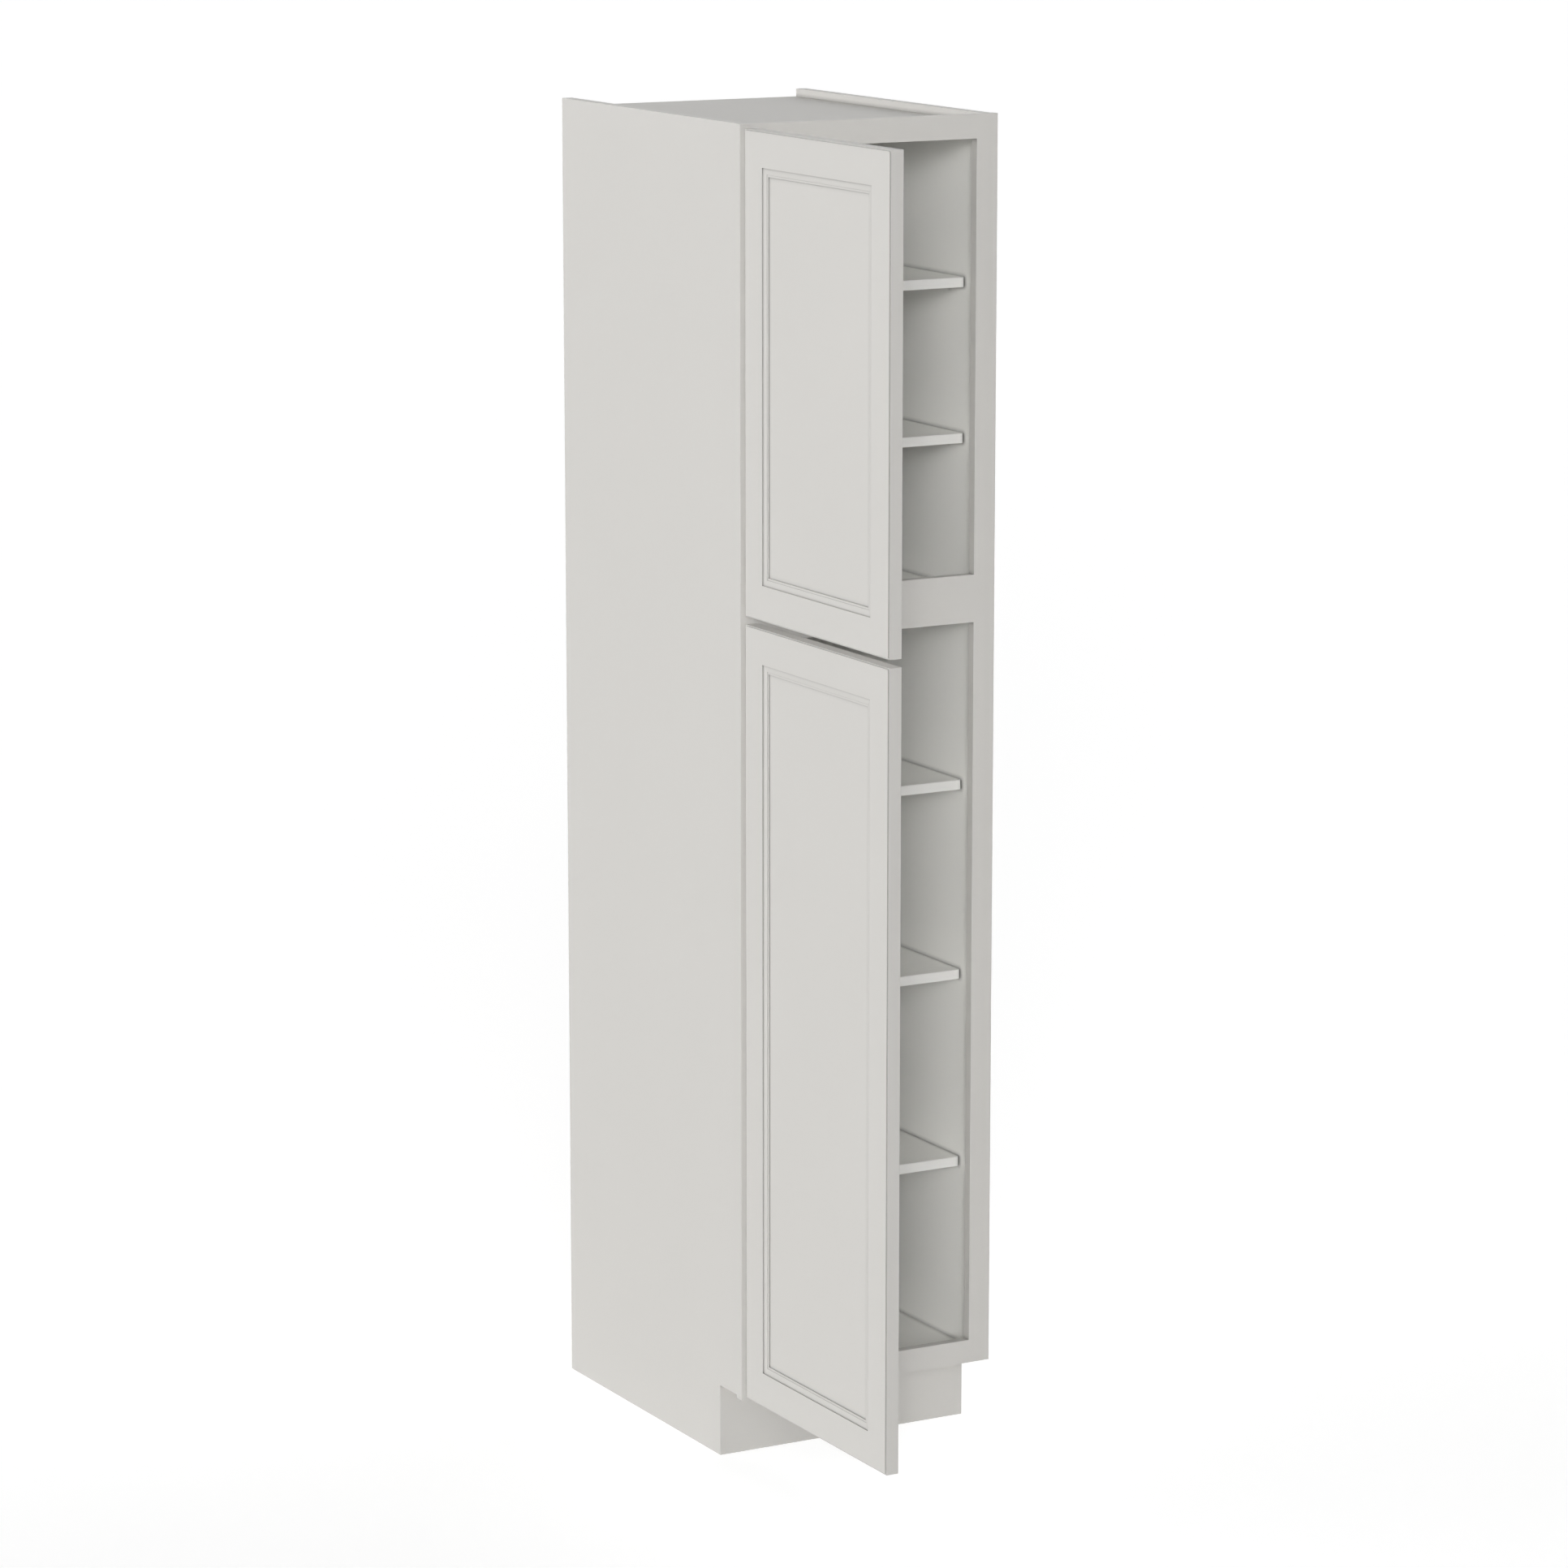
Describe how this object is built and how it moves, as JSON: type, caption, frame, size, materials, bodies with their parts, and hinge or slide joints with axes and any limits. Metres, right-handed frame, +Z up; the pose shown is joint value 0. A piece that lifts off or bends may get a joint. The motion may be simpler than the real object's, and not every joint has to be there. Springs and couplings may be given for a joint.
{
  "type": "tall pantry cabinet",
  "caption": "Tall face-frame pantry cabinet with an upper and a lower cope-and-stick door on cup hinges, adjustable shelves and a recessed toe kick.",
  "frame": {"origin": "on the floor at the middle of the cabinet's back, where the wall plane meets the floor", "axes": "+Z up, +Y from the room towards the wall, +X to the right for someone facing the cabinet"},
  "size_m": [0.4572, 1.0621, 2.1336],
  "materials": {
    "painted_hardwood": "satin off-white paint over solid wood",
    "painted_plywood": "satin off-white paint over plywood",
    "bare_plywood": "bare birch plywood",
    "nickel_steel": "nickel-plated steel",
    "bumper_rubber": "soft clear-white door bumper"
  },
  "bodies": {
    "carcass": {"back_panel": "painted_plywood", "bottom_deck": "painted_plywood", "foot_rail": "bare_plywood", "frame_bottom_rail": "painted_hardwood", "frame_left_stile": "painted_hardwood", "frame_middle_rail": "painted_hardwood", "frame_right_stile": "painted_hardwood", "frame_top_rail": "painted_hardwood", "left_side": "painted_plywood", "lower_door_hinge_arm_1": "nickel_steel", "lower_door_hinge_arm_2": "nickel_steel", "lower_door_hinge_arm_3": "nickel_steel", "middle_deck": "painted_plywood", "middle_hanging_rail": "bare_plywood", "right_side": "painted_plywood", "shelf_1": "painted_plywood", "shelf_2": "painted_plywood", "shelf_3": "painted_plywood", "shelf_4": "painted_plywood", "shelf_5": "painted_plywood", "shelf_pins": "nickel_steel", "toe_board": "painted_plywood", "top_hanging_rail": "bare_plywood", "top_panel": "painted_plywood", "upper_door_hinge_arm_1": "nickel_steel", "upper_door_hinge_arm_2": "nickel_steel"},
    "upper_door": {"upper_door_bottom_rail": "painted_hardwood", "upper_door_bumpers": "bumper_rubber", "upper_door_free_stile": "painted_hardwood", "upper_door_hinge_cups": "nickel_steel", "upper_door_hinge_pin_1": "nickel_steel", "upper_door_hinge_pin_2": "nickel_steel", "upper_door_hinge_stile": "painted_hardwood", "upper_door_panel": "painted_hardwood", "upper_door_top_rail": "painted_hardwood"},
    "lower_door": {"lower_door_bottom_rail": "painted_hardwood", "lower_door_bumpers": "bumper_rubber", "lower_door_free_stile": "painted_hardwood", "lower_door_hinge_cups": "nickel_steel", "lower_door_hinge_pin_1": "nickel_steel", "lower_door_hinge_pin_2": "nickel_steel", "lower_door_hinge_pin_3": "nickel_steel", "lower_door_hinge_stile": "painted_hardwood", "lower_door_panel": "painted_hardwood", "lower_door_top_rail": "painted_hardwood"}
  },
  "joints": [
    {"name": "upper_door_hinge", "type": "hinge", "parent": "carcass", "child": "upper_door", "pos_m": [-0.21525, -0.6246, 1.7526], "axis": [0, 0, -1], "range_deg": [-90, 5]},
    {"name": "lower_door_hinge", "type": "hinge", "parent": "carcass", "child": "lower_door", "pos_m": [-0.21525, -0.6246, 0.74295], "axis": [0, 0, -1], "range_deg": [-90, 5]}
  ]
}
